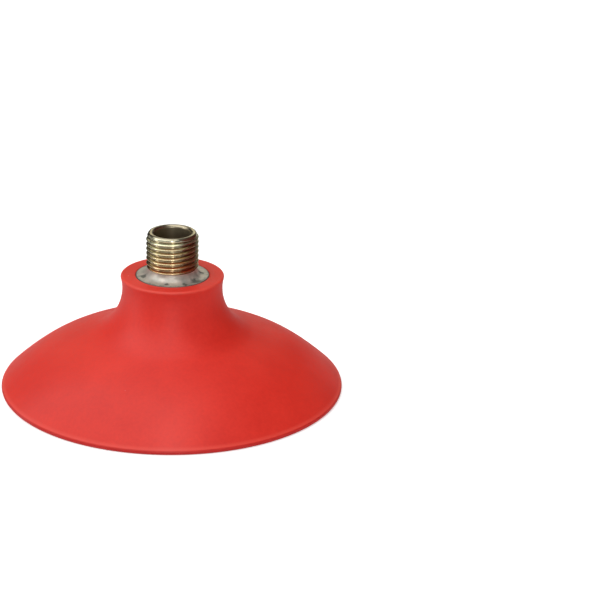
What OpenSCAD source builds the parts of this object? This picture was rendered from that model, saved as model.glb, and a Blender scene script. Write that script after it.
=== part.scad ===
// Vacuum suction cup: a flat silicone cup moulded round a hollow threaded insert.
// The lip rests on z = 0, the cup's axis is Z, and the thread points up.

/* [Cup] */
// Outside diameter of the sealing lip
lip_d = 105; // [84:0.5:130]
// Height of the neck's top face above the lip
neck_h = 36.2; // [29:0.2:46]
// Depth of the suction face at its centre
dish_depth = 12.8; // [9:0.1:15.6]
// Rubber left between the suction face and the insert
floor_t = 4.5; // [3:0.1:6]
// Thickness of the lip at its rounded edge
lip_t = 1.6; // [1.2:0.1:3]
// Width of the flat band on which the lip seals
lip_land = 0.5; // [0.3:0.1:2]
// Radius from the sealing band into the suction face
lip_blend_r = 2; // [1:0.1:4]
// Angle of the bell's outside where it meets the lip
lip_angle = 43; // [30:1:50]

/* [Neck] */
// Rubber round the insert's flange at the top of the neck
neck_wall = 4.55; // [3:0.05:7]
// How much narrower the neck's waist is than its top, on the radius
waist_in = 0.45; // [0.2:0.05:1]
// Distance of the waist below the neck's top face
waist_drop = 4.2; // [3:0.1:6]
// Rounding of the neck's top edge
neck_edge_r = 0.6; // [0.3:0.1:1.5]
// Angle that the flare turns through
flare_turn = 68; // [55:1:72]

/* [Suction face] */
// Diameter of the vacuum hole through the floor
hole_d = 4; // [2:0.1:6]
// Number of ring steps on the suction face
ring_count = 5; // [1:1:5]
// Radius of the outermost ring step
ring_outer_r = 30; // [24:0.5:36]
// Distance between ring steps
ring_gap = 3.3; // [2:0.1:4]
// Height of each ring step
ring_step = 0.25; // [0.1:0.05:0.5]

/* [Threaded nipple] */
// Outside diameter of the thread, M16 less its tolerance
thread_d = 15.9; // [13:0.1:24]
// Pitch of the thread
thread_pitch = 1.5; // [1:0.25:2]
// Full turns of thread
thread_turns = 7; // [4:1:12]
// Wall of the nipple under the thread, which sets the air bore
nipple_wall = 1.38; // [0.8:0.02:2.4]

/* [Support flange] */
// Radius of the hollow fillet between flange and thread
fillet_r = 2.3; // [1:0.1:4]
// Wall of the flange's collar round the nipple
collar_wall = 0.35; // [0.3:0.05:1]
// Flat ring of the flange outside the fillet
flange_land = 1.5; // [1:0.1:4]
// Thickness of the shoulder that shows at the top
shoulder_t = 4; // [2:0.1:5]
// Depth of the groove that the rubber fills under the shoulder
groove_depth = 1.8; // [1:0.1:2.5]
// How far the anchor disc stands out past the shoulder
anchor_lip = 2.8; // [1:0.1:4]
// Thickness of the anchor disc
anchor_t = 3; // [2:0.1:4]

/* [Fits] */
// Bond line between the rubber and the metal
bond_gap = 0.05; // [0.02:0.01:0.1]
// Interference of the nipple in the flange, on the radius
press = 0.01; // [0.005:0.005:0.03]

/* [Hidden] */

turn_fn = 96;     // facets of a whole turn
arc_steps = 8;    // segments in a short arc
curve_steps = 24; // segments in a long curve
past = 1;         // how far a cutter runs past a face

// Thread, with the ISO metric proportions of its pitch
thread_depth = 0.6134 * thread_pitch;
crest_flat = thread_pitch / 8;
root_flat = thread_pitch / 4;
flank_z = (thread_pitch - crest_flat - root_flat) / 2;
crest_r = thread_d / 2;
root_r = crest_r - thread_depth;
bore_r = root_r - nipple_wall;

// Insert
insert_z = dish_depth + floor_t + bond_gap;
flange_z = neck_h;
collar_r = root_r + collar_wall;
flange_r = collar_r + fillet_r + flange_land;
groove_r = flange_r - groove_depth;
anchor_r = flange_r + anchor_lip;
shoulder_z = flange_z - shoulder_t;
anchor_z = insert_z + anchor_t;
thread_z = flange_z + fillet_r;
rim_z = thread_z + thread_turns * thread_pitch;
rim_or = (root_r + crest_r) / 2;
rim_r = (rim_or - bore_r) / 2;
mid_wall_r = (bore_r + root_r) / 2;

// Neck and flare
neck_r = flange_r + neck_wall;
waist_r = neck_r - waist_in;
waist_z = neck_h - waist_drop;
edge_z = neck_h - neck_edge_r;
neck_rise = edge_z - waist_z;
neck_curve_r = (pow(neck_rise, 2) + pow(waist_in, 2)) / (2 * waist_in);
neck_curve_turn = asin(neck_rise / neck_curve_r);
flare_r = (waist_z - insert_z) / sin(flare_turn); // the flare ends level with the insert's foot

// Bell: one cubic curve from the end of the flare to the lip
lip_r = lip_t / 2;
lip_centre = [lip_d / 2 - lip_r, lip_r];
bell_top = [waist_r + flare_r * (1 - cos(flare_turn)), waist_z - flare_r * sin(flare_turn)];
bell_end = lip_centre + lip_r * [sin(lip_angle), cos(lip_angle)];
bell_top_pull = 0.43; // share of the bell's width
bell_end_pull = 0.6;  // share of the bell's width
bell_w = bell_end[0] - bell_top[0];
bell_p1 = bell_top + bell_top_pull * bell_w * [sin(flare_turn), -cos(flare_turn)];
bell_p2 = bell_end - bell_end_pull * bell_w * [cos(lip_angle), -sin(lip_angle)];

// Suction face: part of a sphere that runs into the lip's blend
land_r = lip_centre[0] - lip_land;
crown_z = dish_depth + ring_count * ring_step;
dish_turn = 2 * atan(crown_z / land_r);
dish_r = land_r / sin(dish_turn) - lip_blend_r;
dish_edge_r = land_r - lip_blend_r * sin(dish_turn);
ring_rs = [for (i = [0 : ring_count - 1]) ring_outer_r - i * ring_gap];

// Points on an arc round centre c, from angle a to angle b
function arc(c, r, a, b, n) =
    [for (i = [0 : n]) let (t = a + (b - a) * i / n) c + r * [cos(t), sin(t)]];

// Point at t on a cubic curve
function cubic(p0, p1, p2, p3, t) =
    pow(1 - t, 3) * p0 + 3 * pow(1 - t, 2) * t * p1
    + 3 * (1 - t) * t * t * p2 + pow(t, 3) * p3;

// Height of the plain sphere of the suction face at radius r
function sphere_z(r) = crown_z - dish_r + sqrt(pow(dish_r, 2) - r * r);

// Number of ring steps that lie outside radius r
function steps_outside(r) = len([for (ring = ring_rs) if (ring > r) 1]);

// Suction face from radius a in to radius b, lowered by the rings outside it
function face_band(a, b, n) =
    let (drop = steps_outside((a + b) / 2) * ring_step)
    [for (i = [0 : n]) let (r = a + (b - a) * i / n) [r, sphere_z(r) - drop]];

// Suction face, from the lip's blend in to the axis
function face_points() =
    let (edges = concat([dish_edge_r], ring_rs, [0]))
    [for (k = [0 : ring_count])
        each face_band(edges[k], edges[k + 1], k == 0 ? arc_steps : arc_steps / 2)];

// Outside of the cup, from the axis over the neck and down the bell to the lip
function outside_points() = concat(
    [[0, neck_h]],
    arc([neck_r - neck_edge_r, edge_z], neck_edge_r, 90, 0, arc_steps / 2),
    arc([waist_r + neck_curve_r, waist_z], neck_curve_r, 180 - neck_curve_turn, 180, arc_steps / 2),
    arc([waist_r + flare_r, waist_z], flare_r, 180, 180 + flare_turn, curve_steps),
    [for (i = [1 : curve_steps]) cubic(bell_top, bell_p1, bell_p2, bell_end, i / curve_steps)],
    arc(lip_centre, lip_r, 90 - lip_angle, -90, arc_steps),
    arc([land_r, lip_blend_r], lip_blend_r, -90, -90 - dish_turn, arc_steps / 2)
);

module insert_pocket() {
    translate([0, 0, insert_z - bond_gap])
        cylinder(h = anchor_t + 2 * bond_gap, r = anchor_r + bond_gap, $fn = turn_fn);
    translate([0, 0, insert_z])
        cylinder(h = neck_h - insert_z, r = groove_r + bond_gap, $fn = turn_fn);
    translate([0, 0, shoulder_z - bond_gap])
        cylinder(h = shoulder_t + bond_gap + past, r = flange_r + bond_gap, $fn = turn_fn);
}

module suction_cup() {
    color("crimson")
        difference() {
            rotate_extrude($fn = turn_fn)
                polygon(concat(outside_points(), face_points()));
            insert_pocket();
            translate([0, 0, dish_depth - past])
                cylinder(h = floor_t + 2 * past, r = hole_d / 2, $fn = turn_fn);
        }
}

module support_flange() {
    color("darkgray")
        difference() {
            rotate_extrude($fn = turn_fn)
                polygon(concat(
                    [[0, insert_z], [anchor_r, insert_z], [anchor_r, anchor_z], [groove_r, anchor_z],
                     [groove_r, shoulder_z], [flange_r, shoulder_z], [flange_r, flange_z]],
                    arc([collar_r + fillet_r, thread_z], fillet_r, 270, 180, arc_steps),
                    [[0, thread_z]]
                ));
            translate([0, 0, insert_z - past])
                cylinder(h = thread_z - insert_z + 2 * past, r = root_r - press, $fn = turn_fn);
        }
}

// One ridge of the thread, its foot at z = 0
module thread_ridge() {
    rotate_extrude($fn = turn_fn)
        polygon([[mid_wall_r, root_flat / 2], [root_r, root_flat / 2],
                 [crest_r, root_flat / 2 + flank_z],
                 [crest_r, root_flat / 2 + flank_z + crest_flat],
                 [root_r, thread_pitch - root_flat / 2],
                 [mid_wall_r, thread_pitch - root_flat / 2]]);
}

module threaded_nipple() {
    color("goldenrod") {
        rotate_extrude($fn = turn_fn)
            polygon(concat(
                [[bore_r, insert_z], [root_r, insert_z], [root_r, rim_z], [rim_or, rim_z]],
                arc([bore_r + rim_r, rim_z], rim_r, 0, 180, arc_steps)
            ));
        for (i = [0 : thread_turns - 1])
            translate([0, 0, thread_z + i * thread_pitch])
                thread_ridge();
    }
}

suction_cup();
support_flange();
threaded_nipple();
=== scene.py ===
import math

import bmesh
import bpy
from mathutils import Matrix, Quaternion, Vector


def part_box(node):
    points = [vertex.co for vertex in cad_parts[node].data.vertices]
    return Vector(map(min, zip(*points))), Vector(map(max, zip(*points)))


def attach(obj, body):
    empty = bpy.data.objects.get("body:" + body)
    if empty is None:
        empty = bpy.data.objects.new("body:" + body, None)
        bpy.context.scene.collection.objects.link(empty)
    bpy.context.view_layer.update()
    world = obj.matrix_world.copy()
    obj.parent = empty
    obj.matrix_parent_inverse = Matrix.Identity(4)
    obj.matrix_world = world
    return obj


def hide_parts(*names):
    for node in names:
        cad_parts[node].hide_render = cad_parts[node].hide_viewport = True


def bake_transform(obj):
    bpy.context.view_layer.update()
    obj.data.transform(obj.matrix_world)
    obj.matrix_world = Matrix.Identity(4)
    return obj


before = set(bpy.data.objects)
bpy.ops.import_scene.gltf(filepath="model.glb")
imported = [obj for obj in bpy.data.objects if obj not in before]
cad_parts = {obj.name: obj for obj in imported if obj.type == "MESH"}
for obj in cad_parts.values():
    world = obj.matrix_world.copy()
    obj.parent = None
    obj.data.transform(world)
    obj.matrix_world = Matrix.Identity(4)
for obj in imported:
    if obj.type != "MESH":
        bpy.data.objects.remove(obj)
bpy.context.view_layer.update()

# ---------------------------------------------------------------- Camera
# A tele lens about 0.7 m away that looks a little down on the cup, with the
# cup left of the middle of the frame. A small roll keeps the cup's axis upright.
MM = 0.001
stand_off = 693 * MM
look_down = math.radians(23.53)
aim = Vector((40.3, 0, 26.4)) * MM
roll = math.radians(1.33)

camera_data = bpy.data.cameras.new("camera")
camera_data.sensor_width = 36
camera_data.lens = 132
camera_data.clip_start = 0.05
camera_data.clip_end = 20
camera = bpy.data.objects.new("camera", camera_data)
camera.location = Vector((0, -math.cos(look_down), math.sin(look_down))) * stand_off
camera.rotation_mode = "QUATERNION"
towards_aim = (aim - camera.location).to_track_quat("-Z", "Y")
camera.rotation_quaternion = towards_aim @ Quaternion((0, 0, 1), roll)
bpy.context.scene.collection.objects.link(camera)
bpy.context.scene.camera = camera


# ---------------------------------------------------------------- Studio
# A round white table with a low white wall, in a dim room. Softboxes light the
# cup from overhead, left, front, right and behind. Two narrow strips and two
# dark cards near the cup show only in reflections, as streaks in the metal and
# as its dark sides.
room = 0.10
table_r = 2.5
table_segments = 128
wall_h = 0.55
table_glow = 0.5
wall_glow = 0.9
overhead_power = 12.0
left_power = 0.8
front_power = 1.9
fill_power = 3.0
back_power = 5.0
streak_power = 0.006
streak_away = 0.06
streak_z = 0.045
streak_size = (0.006, 0.08)
lamps_aim = Vector((0, 0, 0.02))

white_paint = (0.9, 0.9, 0.9, 1)
warm_light = (1.0, 0.95, 0.72)
card_red = (0.13, 0.018, 0.012, 1)
card_black = (0.01, 0.01, 0.01, 1)


def finish_for(name):
    """A new material: returns it with its node tree and its Principled shader."""
    material = bpy.data.materials.new(name)
    material.use_nodes = True
    return material, material.node_tree, material.node_tree.nodes["Principled BSDF"]


def put(tree, kind, inputs=None, **settings):
    """Adds a node with its settings; an input that is another node's socket is linked."""
    node = tree.nodes.new(kind)
    for name, value in settings.items():
        setattr(node, name, value)
    for name, value in (inputs or {}).items():
        if isinstance(value, bpy.types.NodeSocket):
            tree.links.new(value, node.inputs[name])
        else:
            node.inputs[name].default_value = value
    return node


def softbox(name, place, size, power):
    """A rectangular soft light that looks at the cup."""
    light = bpy.data.lights.new(name, "AREA")
    light.shape = "RECTANGLE"
    light.size, light.size_y = size
    light.energy = power
    lamp = bpy.data.objects.new(name, light)
    lamp.location = place
    lamp.rotation_euler = (lamps_aim - lamp.location).to_track_quat("-Z", "Y").to_euler()
    bpy.context.scene.collection.objects.link(lamp)
    return lamp


def stage_piece(name, bm, colour, glow=0.0):
    """A part of the studio in matt paint, with a glow that only the camera sees."""
    mesh = bpy.data.meshes.new(name)
    bm.to_mesh(mesh)
    bm.free()
    paint, tree, shader = finish_for(name)
    shader.inputs["Base Color"].default_value = colour
    shader.inputs["Roughness"].default_value = 0.7
    camera_ray = put(tree, "ShaderNodeLightPath").outputs["Is Camera Ray"]
    tree.links.new(camera_ray, shader.inputs["Emission Color"])
    shader.inputs["Emission Strength"].default_value = glow
    mesh.materials.append(paint)
    piece = bpy.data.objects.new(name, mesh)
    bpy.context.scene.collection.objects.link(piece)
    return piece


softbox("overhead_softbox", (-0.4, -0.15, 1.0), (1.5, 1.5), overhead_power)
softbox("left_softbox", (-1.2, -0.3, 0.5), (0.08, 0.6), left_power)
softbox("front_softbox", (0.0, -1.3, 0.6), (0.1, 0.6), front_power)
fill = softbox("fill_softbox", (1.0, -0.5, 0.6), (0.8, 0.8), fill_power)
fill.visible_glossy = False
back = softbox("back_softbox", (-0.1, 2.2, 1.0), (1.8, 0.7), back_power)
back.data.color = warm_light

for name, degrees in (("front_streak", 0), ("left_streak", 78)):
    turn = math.radians(degrees)
    side = Vector((-math.sin(turn), -math.cos(turn), 0))
    strip = softbox(name, side * streak_away + Vector((0, 0, streak_z)), streak_size, streak_power)
    strip.visible_camera = strip.visible_diffuse = False

bm = bmesh.new()
bmesh.ops.create_circle(bm, segments=table_segments, radius=table_r, cap_ends=True)
stage_piece("table", bm, white_paint, table_glow)

bm = bmesh.new()
bmesh.ops.create_circle(bm, segments=table_segments, radius=table_r)
grown = bmesh.ops.extrude_edge_only(bm, edges=bm.edges[:])["geom"]
top_verts = [g for g in grown if isinstance(g, bmesh.types.BMVert)]
bmesh.ops.translate(bm, verts=top_verts, vec=(0, 0, wall_h))
stage_piece("wall", bm, white_paint, wall_glow)

for name, place, size, colour in (("red_card", (0.05, 0.0, 0.07), 0.055, card_red),
                                  ("black_card", (-0.03, 0.055, 0.05), 0.022, card_black)):
    bm = bmesh.new()
    bmesh.ops.create_grid(bm, x_segments=1, y_segments=1, size=size)
    facing = Vector((place[0], place[1], 0)).to_track_quat("Z", "Y").to_matrix().to_4x4()
    bmesh.ops.transform(bm, matrix=Matrix.Translation(place) @ facing, verts=bm.verts)
    card = stage_piece(name, bm, colour)
    card.visible_camera = card.visible_diffuse = False
    card.visible_shadow = card.visible_transmission = False

bpy.context.scene.view_settings.view_transform = "Standard"
world = bpy.data.worlds.new("room")
world.use_nodes = True
world.node_tree.nodes["Background"].inputs["Color"].default_value = (1, 1, 1, 1)
world.node_tree.nodes["Background"].inputs["Strength"].default_value = room
bpy.context.scene.world = world


# ---------------------------------------------------------------- Suction cup
# One compression moulding in red silicone, vulcanised onto the metal insert.
# Outside: neck, flare and bell down to the thin lip. Inside: the suction face
# with its five ring steps, the vacuum hole and the marks of two ejector pins.
lip_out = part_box("suction_cup")[1].x
neck_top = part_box("suction_cup")[1].z
insert_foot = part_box("support_flange")[0].z
anchor_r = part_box("support_flange")[1].x

dish_depth = 12.8 * MM
lip_r = 0.8 * MM
lip_land = 0.5 * MM
lip_blend_r = 2 * MM
lip_angle = math.radians(43)
neck_wall = 4.55 * MM
waist_in = 0.45 * MM
waist_drop = 4.2 * MM
neck_edge_r = 0.6 * MM
flare_turn = math.radians(68)
bell_top_pull = 0.43
bell_end_pull = 0.6
hole_r = 2 * MM
ring_count = 5
ring_outer_r = 30 * MM
ring_gap = 3.3 * MM
ring_step = 0.25 * MM
flange_r = 11.18 * MM
groove_r = 9.38 * MM
bond_gap = 0.05 * MM
shoulder_t = 4 * MM
anchor_t = 3 * MM
mouth_r = 0.3 * MM
pin_mark_at = 4.65 * MM
pin_mark_r = 0.6 * MM
pin_mark_depth = 0.12 * MM
cup_steps = 288
face_steps_out = 20
face_steps_ring = 4
face_steps_in = 90

pale_red = (0.86, 0.037, 0.021, 1)
deep_red = (0.73, 0.022, 0.012, 1)
# Deeper red for the painted shade at the foot of the lip.
lip_shade_red = (0.62, 0.018, 0.014, 1)
# Paler red for the painted highlights above the lip and round the neck's top edge.
painted_highlight_red = (0.90, 0.10, 0.07, 1)
dust = (0.85, 0.36, 0.30, 1)
dirt = (0.22, 0.02, 0.015, 1)
dirt_offset = (0.3, 0.1, 0.2)


def arc(centre, r, start, end, steps):
    """Points (r, z) on an arc round centre, from one angle to the other, in radians."""
    angles = [start + (end - start) * i / steps for i in range(steps + 1)]
    return [(centre[0] + r * math.cos(a), centre[1] + r * math.sin(a)) for a in angles]


def cubic(p0, p1, p2, p3, steps):
    """Points on a cubic curve, without its first one."""
    pulls = (p0, p1, p2, p3)
    points = []
    for t in [i / steps for i in range(1, steps + 1)]:
        shares = ((1 - t) ** 3, 3 * (1 - t) ** 2 * t, 3 * (1 - t) * t * t, t ** 3)
        points.append(tuple(sum(s * p[k] for s, p in zip(shares, pulls)) for k in (0, 1)))
    return points


def spun(outline, steps):
    """A closed outline of (r, z) points turned once round the Z axis."""
    bm = bmesh.new()
    verts = [bm.verts.new((r, 0, z)) for r, z in outline]
    edges = [bm.edges.new(pair) for pair in zip(verts, verts[1:] + verts[:1])]
    bmesh.ops.spin(bm, geom=verts + edges, cent=(0, 0, 0), axis=(0, 0, 1), dvec=(0, 0, 0),
                   angle=math.tau, steps=steps, use_merge=True, use_duplicate=False)
    return bm


def piece_from(bm, name, node, material, crease=math.radians(40)):
    """Welds the mesh, turns its faces outwards and lets it stand for the frame's node."""
    bmesh.ops.remove_doubles(bm, verts=bm.verts, dist=1e-7)
    bmesh.ops.recalc_face_normals(bm, faces=bm.faces)
    for face in bm.faces:
        face.smooth = True
    mesh = bpy.data.meshes.new(name)
    bm.to_mesh(mesh)
    bm.free()
    mesh.set_sharp_from_angle(angle=crease)
    mesh.materials.append(material)
    piece = bpy.data.objects.new(name, mesh)
    bpy.context.scene.collection.objects.link(piece)
    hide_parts(node)
    return piece


def stretch(tree, value, low, high, to_low=0.0, to_high=1.0):
    """Maps the value from low..high to to_low..to_high, without going past them."""
    return put(tree, "ShaderNodeMapRange", {"Value": value, "From Min": low, "From Max": high,
                                            "To Min": to_low, "To Max": to_high}).outputs[0]


def maths(tree, operation, first, second):
    return put(tree, "ShaderNodeMath", {0: first, 1: second}, operation=operation).outputs[0]


def vector_maths(tree, operation, first, second=(0, 0, 0)):
    """A step with vectors: gives a number for a length or a distance, and else a vector."""
    node = put(tree, "ShaderNodeVectorMath", {0: first, 1: second}, operation=operation)
    return node.outputs["Value" if operation in ("LENGTH", "DISTANCE") else "Vector"]


def mixed(tree, share, first, second):
    """The first colour, with the second laid over it where the share is 1."""
    return put(tree, "ShaderNodeMix", {0: share, 6: first, 7: second}, data_type="RGBA").outputs[2]


def group_with(name, inputs, output):
    """A node group with the named inputs and one value as its output."""
    tree = bpy.data.node_groups.new(name, "ShaderNodeTree")
    for title, kind in inputs:
        tree.interface.new_socket(title, in_out="INPUT", socket_type=kind)
    tree.interface.new_socket(output, in_out="OUTPUT", socket_type="NodeSocketFloat")
    return tree, tree.nodes.new("NodeGroupInput").outputs, tree.nodes.new("NodeGroupOutput").inputs


# Grain: even noise with its contrast pulled out to 0..1.
pattern_inputs = [("Vector", "NodeSocketVector"), ("Scale", "NodeSocketFloat")]
grain, given, out = group_with("grain", pattern_inputs, "Grain")
grain_noise = put(grain, "ShaderNodeTexNoise",
                  {"Vector": given["Vector"], "Scale": given["Scale"], "Detail": 3.0})
grain.links.new(stretch(grain, grain_noise.outputs[0], 0.3, 0.7), out["Grain"])

# Specks: small round spots in about two cells of every five, each of its own size.
size_input = [("Size", "NodeSocketFloat")]
specks, given, out = group_with("specks", pattern_inputs + size_input, "Specks")
cells = put(specks, "ShaderNodeTexVoronoi", {"Vector": given["Vector"], "Scale": given["Scale"]})
cell_draw = put(specks, "ShaderNodeSeparateColor", {0: cells.outputs["Color"]}).outputs[0]
drawn_size = stretch(specks, cell_draw, 0.6, 1)
reach = maths(specks, "MULTIPLY", drawn_size, given["Size"])
inside = maths(specks, "SUBTRACT", reach, cells.outputs["Distance"])
specks.links.new(stretch(specks, inside, 0.0, 0.02), out["Specks"])


def from_group(tree, group, inputs):
    return put(tree, "ShaderNodeGroup", inputs, node_tree=group).outputs[0]


neck_r = flange_r + neck_wall
waist_r = neck_r - waist_in
waist_z = neck_top - waist_drop
edge_z = neck_top - neck_edge_r
neck_rise = edge_z - waist_z
neck_curve_r = (neck_rise ** 2 + waist_in ** 2) / (2 * waist_in)
neck_curve_turn = math.asin(neck_rise / neck_curve_r)
flare_r = (waist_z - insert_foot) / math.sin(flare_turn)
bell_top = Vector((waist_r + flare_r * (1 - math.cos(flare_turn)),
                   waist_z - flare_r * math.sin(flare_turn)))
lip_centre = Vector((lip_out - lip_r, lip_r))
bell_end = lip_centre + lip_r * Vector((math.sin(lip_angle), math.cos(lip_angle)))
bell_w = bell_end.x - bell_top.x
bell_start = Vector((math.sin(flare_turn), -math.cos(flare_turn)))
bell_finish = Vector((math.cos(lip_angle), -math.sin(lip_angle)))
bell_p1 = bell_top + bell_top_pull * bell_w * bell_start
bell_p2 = bell_end - bell_end_pull * bell_w * bell_finish

land_r = lip_centre.x - lip_land
crown_z = dish_depth + ring_count * ring_step
dish_turn = 2 * math.atan(crown_z / land_r)
dish_r = land_r / math.sin(dish_turn) - lip_blend_r
ring_rs = [ring_outer_r - i * ring_gap for i in range(ring_count)]

suction_face = []
face_edges = [land_r - lip_blend_r * math.sin(dish_turn)] + ring_rs + [hole_r]
for rings_passed, (outer, inner) in enumerate(zip(face_edges, face_edges[1:])):
    steps = face_steps_ring
    if rings_passed == 0:
        steps = face_steps_out
    elif inner == hole_r:
        steps = face_steps_in
    for i in range(steps + 1):
        r = outer + (inner - outer) * i / steps
        sphere_z = crown_z - dish_r + math.sqrt(dish_r ** 2 - r * r)
        suction_face.append((r, sphere_z - rings_passed * ring_step))

pocket_z = insert_foot - bond_gap
anchor_top = insert_foot + anchor_t + bond_gap
shoulder_foot = neck_top - shoulder_t - bond_gap
cup_outline = (
    arc((flange_r + bond_gap + mouth_r, neck_top - mouth_r), mouth_r, math.pi, math.pi / 2, 5)
    + arc((neck_r - neck_edge_r, edge_z), neck_edge_r, math.pi / 2, 0, 8)
    + arc((waist_r + neck_curve_r, waist_z), neck_curve_r,
          math.pi - neck_curve_turn, math.pi, 8)[1:]
    + arc((waist_r + flare_r, waist_z), flare_r, math.pi, math.pi + flare_turn, 32)[1:]
    + cubic(bell_top, bell_p1, bell_p2, bell_end, 48)
    + arc(lip_centre, lip_r, math.pi / 2 - lip_angle, -math.pi / 2, 12)[1:]
    + arc((land_r, lip_blend_r), lip_blend_r, -math.pi / 2, -math.pi / 2 - dish_turn, 6)
    + suction_face[1:]
    + [(hole_r, pocket_z), (anchor_r + bond_gap, pocket_z), (anchor_r + bond_gap, anchor_top),
       (groove_r + bond_gap, anchor_top), (groove_r + bond_gap, shoulder_foot),
       (flange_r + bond_gap, shoulder_foot)]
)
bm = spun(cup_outline, cup_steps)
for vert in bm.verts:
    off = Vector((abs(vert.co.x) - pin_mark_at, vert.co.y)).length
    if off < pin_mark_r and vert.co.z < pocket_z:
        vert.co.z += pin_mark_depth * (1 - (off / pin_mark_r) ** 4)

silicone, tree, shader = finish_for("red_silicone")
place = put(tree, "ShaderNodeTexCoord").outputs["Object"]
mottle = from_group(tree, grain, {"Vector": place, "Scale": 70.0})
fine = from_group(tree, grain, {"Vector": place, "Scale": 1000.0})
tone = maths(tree, "ADD", maths(tree, "MULTIPLY", mottle, 0.6), maths(tree, "MULTIPLY", fine, 0.4))
colour = mixed(tree, tone, deep_red, pale_red)
height = put(tree, "ShaderNodeSeparateXYZ", {0: place}).outputs["Z"]
flat_place = vector_maths(tree, "MULTIPLY", place, (1, 1, 0))
out_from_axis = vector_maths(tree, "LENGTH", flat_place)
outside_dish = stretch(tree, out_from_axis, lip_out - 1.7 * MM, lip_out - 1.3 * MM)
# Painted shade: the outside of the lip, up to about 1.5 mm, in a deeper red, for the shade where
# it meets the floor.
lip_shade = maths(tree, "MULTIPLY", outside_dish, stretch(tree, height, 1.2 * MM, 1.5 * MM, 1.0, 0.0))
# Painted highlight: a paler line just above the shade band, where the bell turns into the lip's
# round.
lip_highlight_reach = maths(tree, "MULTIPLY", outside_dish, stretch(tree, height, 1.7 * MM, 2.3 * MM, 0.5, 0.0))
lip_highlight = maths(tree, "SUBTRACT", lip_highlight_reach, lip_shade)
# Painted highlight: a paler line round the outer edge of the neck's top.
near_neck_top = stretch(tree, height, neck_top - 0.9 * MM, neck_top - 0.3 * MM)
near_neck_edge = stretch(tree, out_from_axis, neck_r - 0.8 * MM, neck_r - 0.2 * MM)
neck_edge_highlight = maths(tree, "MULTIPLY", near_neck_top, maths(tree, "MULTIPLY", near_neck_edge, 0.6))
colour = mixed(tree, maths(tree, "MAXIMUM", lip_highlight, neck_edge_highlight), colour, painted_highlight_red)
colour = mixed(tree, lip_shade, colour, lip_shade_red)
dust_spots = from_group(tree, specks, {"Vector": place, "Scale": 160.0, "Size": 0.06})
moved_place = vector_maths(tree, "ADD", place, dirt_offset)
dirt_spots = from_group(tree, specks, {"Vector": moved_place, "Scale": 110.0, "Size": 0.045})
colour = mixed(tree, maths(tree, "MULTIPLY", dust_spots, 0.6), colour, dust)
colour = mixed(tree, maths(tree, "MULTIPLY", dirt_spots, 0.6), colour, dirt)
tree.links.new(colour, shader.inputs["Base Color"])
tree.links.new(stretch(tree, fine, 0.0, 1.0, 0.46, 0.56), shader.inputs["Roughness"])
skin = put(tree, "ShaderNodeBump", {"Height": fine, "Strength": 0.25, "Distance": 0.03 * MM})
tree.links.new(skin.outputs[0], shader.inputs["Normal"])
shader.inputs["IOR"].default_value = 1.41
shader.inputs["Subsurface Weight"].default_value = 0.12
shader.inputs["Subsurface Radius"].default_value = (1.0, 0.2, 0.1)
shader.inputs["Subsurface Scale"].default_value = 1.5 * MM

cup = piece_from(bm, "silicone_cup", "suction_cup", silicone)
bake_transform(cup)


# ---------------------------------------------------------------- Support flange
# A turned steel flange that the rubber is bonded to. Only its top ring and the
# hollow fillet up to the thread show; it was blasted and primed before moulding.
fillet_r = 2.3 * MM
collar_r = 7.38 * MM
root_r = 7.03 * MM
flange_edge_r = 0.15 * MM
thread_foot = neck_top + fillet_r

steel_grey = (0.42, 0.41, 0.36, 1)
steel_pale = (0.72, 0.65, 0.57, 1)
# Black for the primer, and for the painted shade in the gap between flange and rubber.
primer_and_shade_black = (0.05, 0.055, 0.045, 1)
# Where the primer is thick enough to show: x, y and radius of each patch, in mm.
primer_patches = ((-9.0, -2.2, 2.0), (7.4, -6.3, 2.8), (8.7, 0.6, 1.3), (-1.7, -9.2, 1.1),
                  (4.0, -9.2, 1.8))

flange_outline = (
    [(root_r, insert_foot), (anchor_r, insert_foot), (anchor_r, insert_foot + anchor_t),
     (groove_r, insert_foot + anchor_t), (groove_r, neck_top - shoulder_t),
     (flange_r, neck_top - shoulder_t)]
    + arc((flange_r - flange_edge_r, neck_top - flange_edge_r), flange_edge_r, 0, math.pi / 2, 4)
    + [(flange_r - 0.4 * MM, neck_top), (flange_r - 0.9 * MM, neck_top)]
    + arc((collar_r + fillet_r, thread_foot), fillet_r, 1.5 * math.pi, math.pi, 16)
    + [(root_r, thread_foot)]
)
bm = spun(flange_outline, 192)

primed_steel, tree, shader = finish_for("primed_steel")
place = put(tree, "ShaderNodeTexCoord").outputs["Object"]
flat_place = vector_maths(tree, "MULTIPLY", place, (1, 1, 0))
out_from_axis = vector_maths(tree, "LENGTH", flat_place)
near_edge = stretch(tree, out_from_axis, 8.8 * MM, 10.6 * MM)
blotches = from_group(tree, grain, {"Vector": place, "Scale": 380.0})
fine = from_group(tree, grain, {"Vector": place, "Scale": 1800.0})
paleness = maths(tree, "MULTIPLY", blotches, stretch(tree, near_edge, 0, 1, 1.0, 0.5))
body = mixed(tree, paleness, steel_grey, steel_pale)
flecks = from_group(tree, grain, {"Vector": place, "Scale": 620.0})
primer_and_gap_shade = stretch(tree, maths(tree, "MULTIPLY", flecks, near_edge), 0.5, 0.7, 0.0, 0.6)
ragged = from_group(tree, grain, {"Vector": place, "Scale": 700.0})
for patch_x, patch_y, patch_r in primer_patches:
    away = vector_maths(tree, "DISTANCE", flat_place, (patch_x * MM, patch_y * MM, 0))
    spot = stretch(tree, away, 0.2 * patch_r * MM, patch_r * MM, 1.0, 0.0)
    worn = maths(tree, "MULTIPLY", spot, stretch(tree, ragged, 0.1, 0.9, 0.3, 1.2))
    primer_and_gap_shade = maths(tree, "MAXIMUM", primer_and_gap_shade, stretch(tree, worn, 0.22, 0.6, 0.0, 0.85))
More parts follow.
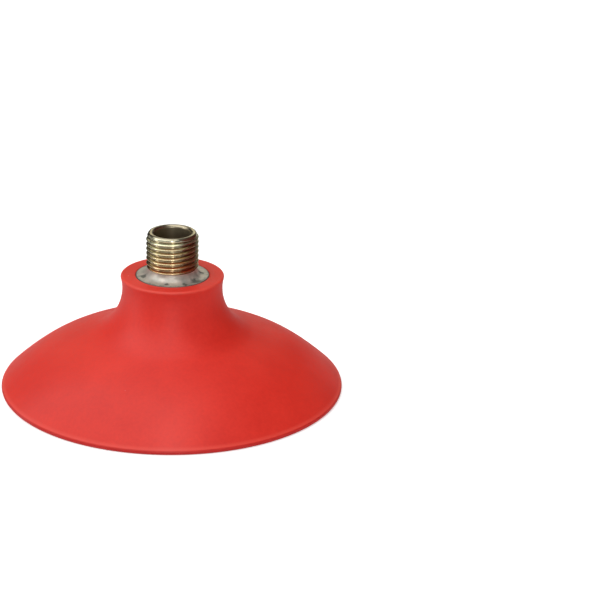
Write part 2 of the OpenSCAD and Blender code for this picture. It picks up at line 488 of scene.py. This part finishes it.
# Painted shade: a dark line round the flange's outer edge, where it meets the rubber, for the
# shade in the gap between them.
gap_shade_line = stretch(tree, out_from_axis, flange_r - 0.45 * MM, flange_r - 0.15 * MM, 0.0, 0.85)
primer_and_gap_shade = maths(tree, "MAXIMUM", primer_and_gap_shade, gap_shade_line)
tree.links.new(mixed(tree, primer_and_gap_shade, body, primer_and_shade_black), shader.inputs["Base Color"])
tree.links.new(stretch(tree, primer_and_gap_shade, 0, 1, 0.55, 0.1), shader.inputs["Metallic"])
tree.links.new(stretch(tree, fine, 0, 1, 0.36, 0.52), shader.inputs["Roughness"])
blasted = put(tree, "ShaderNodeBump", {"Height": fine, "Strength": 0.5, "Distance": 0.05 * MM})
tree.links.new(blasted.outputs[0], shader.inputs["Normal"])

flange = piece_from(bm, "support_flange_turned", "support_flange", primed_steel)
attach(flange, "insert")


# ---------------------------------------------------------------- Threaded nipple
# A hollow M16 x 1.5 nipple turned from steel, zinc plated and yellow passivated.
# It is pressed into the flange, and its rounded rim is the mouth of the air bore.
pitch = 1.5 * MM
crest_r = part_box("threaded_nipple")[1].x
rim_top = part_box("threaded_nipple")[1].z
bore_r = 5.65 * MM
rim_or = (root_r + crest_r) / 2
rim_r = (rim_or - bore_r) / 2
rim_z = rim_top - rim_r
shank_r = root_r - 0.02 * MM
pitch_points = 24
nipple_steps = 192
# Half the crest's width, half the root's and the rounding, as shares of the pitch.
crest_half = 0.07
root_half = 0.12
corner = 0.03
# Turns below the thread's foot, which set where the helix starts, and spare ones.
turns_below = 1.92
spare_turns = 4
weld = 0.004 * MM
run_in_rise = 1.2
run_in_fall = 1.5

film_gold = (0.72, 0.53, 0.29, 1)
film_brass = (0.72, 0.60, 0.35, 1)
film_olive = (0.70, 0.66, 0.43, 1)
film_pale = (0.84, 0.85, 0.62, 1)
darkening_brown = (0.16, 0.08, 0.055, 1)
lathe_grain = (40, 40, 4000)


def thread_r(share):
    """Radius of the thread at a share of its pitch, 0 in the root, with its corners rounded."""
    rises = []
    for step in (-2, -1, 0, 1, 2):
        from_root = abs((share + step * corner + 0.5) % 1 - 0.5)
        rise = (from_root - root_half) / (0.5 - root_half - crest_half)
        rises.append(min(max(rise, 0), 1))
    return root_r + (crest_r - root_r) * sum(rises) / len(rises)


def draw_on(bm, edges, points):
    """Extrudes an open edge through rings of the given (r, z) points, keeping its turn."""
    for r, z in points:
        grown = bmesh.ops.extrude_edge_only(bm, edges=edges)["geom"]
        for vert in [g for g in grown if isinstance(g, bmesh.types.BMVert)]:
            flat = vert.co.xy.normalized() * r
            vert.co = (flat.x, flat.y, z)
        edges = [g for g in grown if isinstance(g, bmesh.types.BMEdge) and len(g.link_faces) == 1]
    return edges


# The thread's flank is spun up its helix, cut level at foot and rim, and chamfered there.
bm = bmesh.new()
chain_foot = thread_foot - turns_below * pitch
chain_len = int((rim_z - thread_foot) / pitch + spare_turns) * pitch_points
chain = [bm.verts.new((thread_r(i / pitch_points), 0, chain_foot + i * pitch / pitch_points))
         for i in range(chain_len)]
links_up = [bm.edges.new(pair) for pair in zip(chain, chain[1:])]
bmesh.ops.spin(bm, geom=chain + links_up, cent=(0, 0, 0), axis=(0, 0, 1),
               dvec=(0, 0, pitch / nipple_steps), angle=math.tau, steps=nipple_steps,
               use_merge=False, use_duplicate=False)
bmesh.ops.remove_doubles(bm, verts=bm.verts, dist=weld)
for cut_z, side in ((thread_foot, -1), (rim_z, 1)):
    bmesh.ops.bisect_plane(bm, geom=bm.verts[:] + bm.edges[:] + bm.faces[:], dist=1e-8,
                           plane_co=(0, 0, cut_z), plane_no=(0, 0, side), clear_outer=True)
for vert in bm.verts:
    r = vert.co.xy.length
    up = vert.co.z - thread_foot
    down = rim_z - vert.co.z
    highest = min(collar_r + run_in_rise * up, rim_or + down)
    lowest = max(root_r, collar_r - run_in_fall * up, rim_or - down)
    vert.co.xy *= min(max(r, lowest), highest) / r

open_edges = [e for e in bm.edges if len(e.link_faces) == 1]
middle_z = (thread_foot + rim_z) / 2
foot_edges = [e for e in open_edges if e.verts[0].co.z < middle_z]
rim_edges = [e for e in open_edges if e.verts[0].co.z > middle_z]
rim_arc = arc((bore_r + rim_r, rim_z), rim_r, 0, math.pi, 14)[1:]
rim_edges = draw_on(bm, rim_edges, rim_arc + [(bore_r, rim_z - 8 * MM), (bore_r, insert_foot)])
foot_edges = draw_on(bm, foot_edges, [(shank_r, thread_foot), (shank_r, insert_foot)])
bmesh.ops.bridge_loops(bm, edges=rim_edges + foot_edges)

yellow_zinc, tree, shader = finish_for("yellow_zinc")
place = put(tree, "ShaderNodeTexCoord").outputs["Object"]
flat_place = vector_maths(tree, "MULTIPLY", place, (1, 1, 0))
out_from_axis = vector_maths(tree, "LENGTH", flat_place)
height = put(tree, "ShaderNodeSeparateXYZ", {0: place}).outputs["Z"]
clouds = from_group(tree, grain, {"Vector": place, "Scale": 140.0})
up_thread = stretch(tree, height, thread_foot, rim_top, 0.0, 0.75)
film_t = maths(tree, "ADD", up_thread, maths(tree, "MULTIPLY", clouds, 0.25))
film = put(tree, "ShaderNodeValToRGB", {0: film_t})
film.color_ramp.elements[0].position = 0.0
film.color_ramp.elements[0].color = film_gold
film.color_ramp.elements[1].position = 0.95
film.color_ramp.elements[1].color = film_pale
film.color_ramp.elements.new(0.35).color = film_brass
film.color_ramp.elements.new(0.65).color = film_olive
# Darker brown in the thread's roots, and in cloudy patches down the bore.
in_root = stretch(tree, out_from_axis, root_r + 0.1 * MM, root_r + 0.6 * MM, 1.0, 0.0)
in_bore = stretch(tree, out_from_axis, bore_r, bore_r + 0.15 * MM, 1.0, 0.0)
bore_darkening = maths(tree, "MULTIPLY", in_bore, stretch(tree, clouds, 0.3, 0.9, 0.0, 0.5))
root_and_bore_darkening = maths(tree, "MAXIMUM", maths(tree, "MULTIPLY", in_root, 0.6), bore_darkening)
tree.links.new(mixed(tree, root_and_bore_darkening, film.outputs[0], darkening_brown), shader.inputs["Base Color"])
shader.inputs["Metallic"].default_value = 1.0
polish = stretch(tree, clouds, 0, 1, 0.20, 0.27)
dullness = maths(tree, "ADD", polish, maths(tree, "MULTIPLY", in_bore, 0.2))
tree.links.new(dullness, shader.inputs["Roughness"])
round_stretched = vector_maths(tree, "MULTIPLY", place, lathe_grain)
tool_marks = from_group(tree, grain, {"Vector": round_stretched, "Scale": 1.0})
tooling = put(tree, "ShaderNodeBump",
              {"Height": tool_marks, "Strength": 0.3, "Distance": 0.01 * MM})
tree.links.new(tooling.outputs[0], shader.inputs["Normal"])

nipple = piece_from(bm, "threaded_nipple_turned", "threaded_nipple", yellow_zinc, math.radians(60))
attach(nipple, "insert")
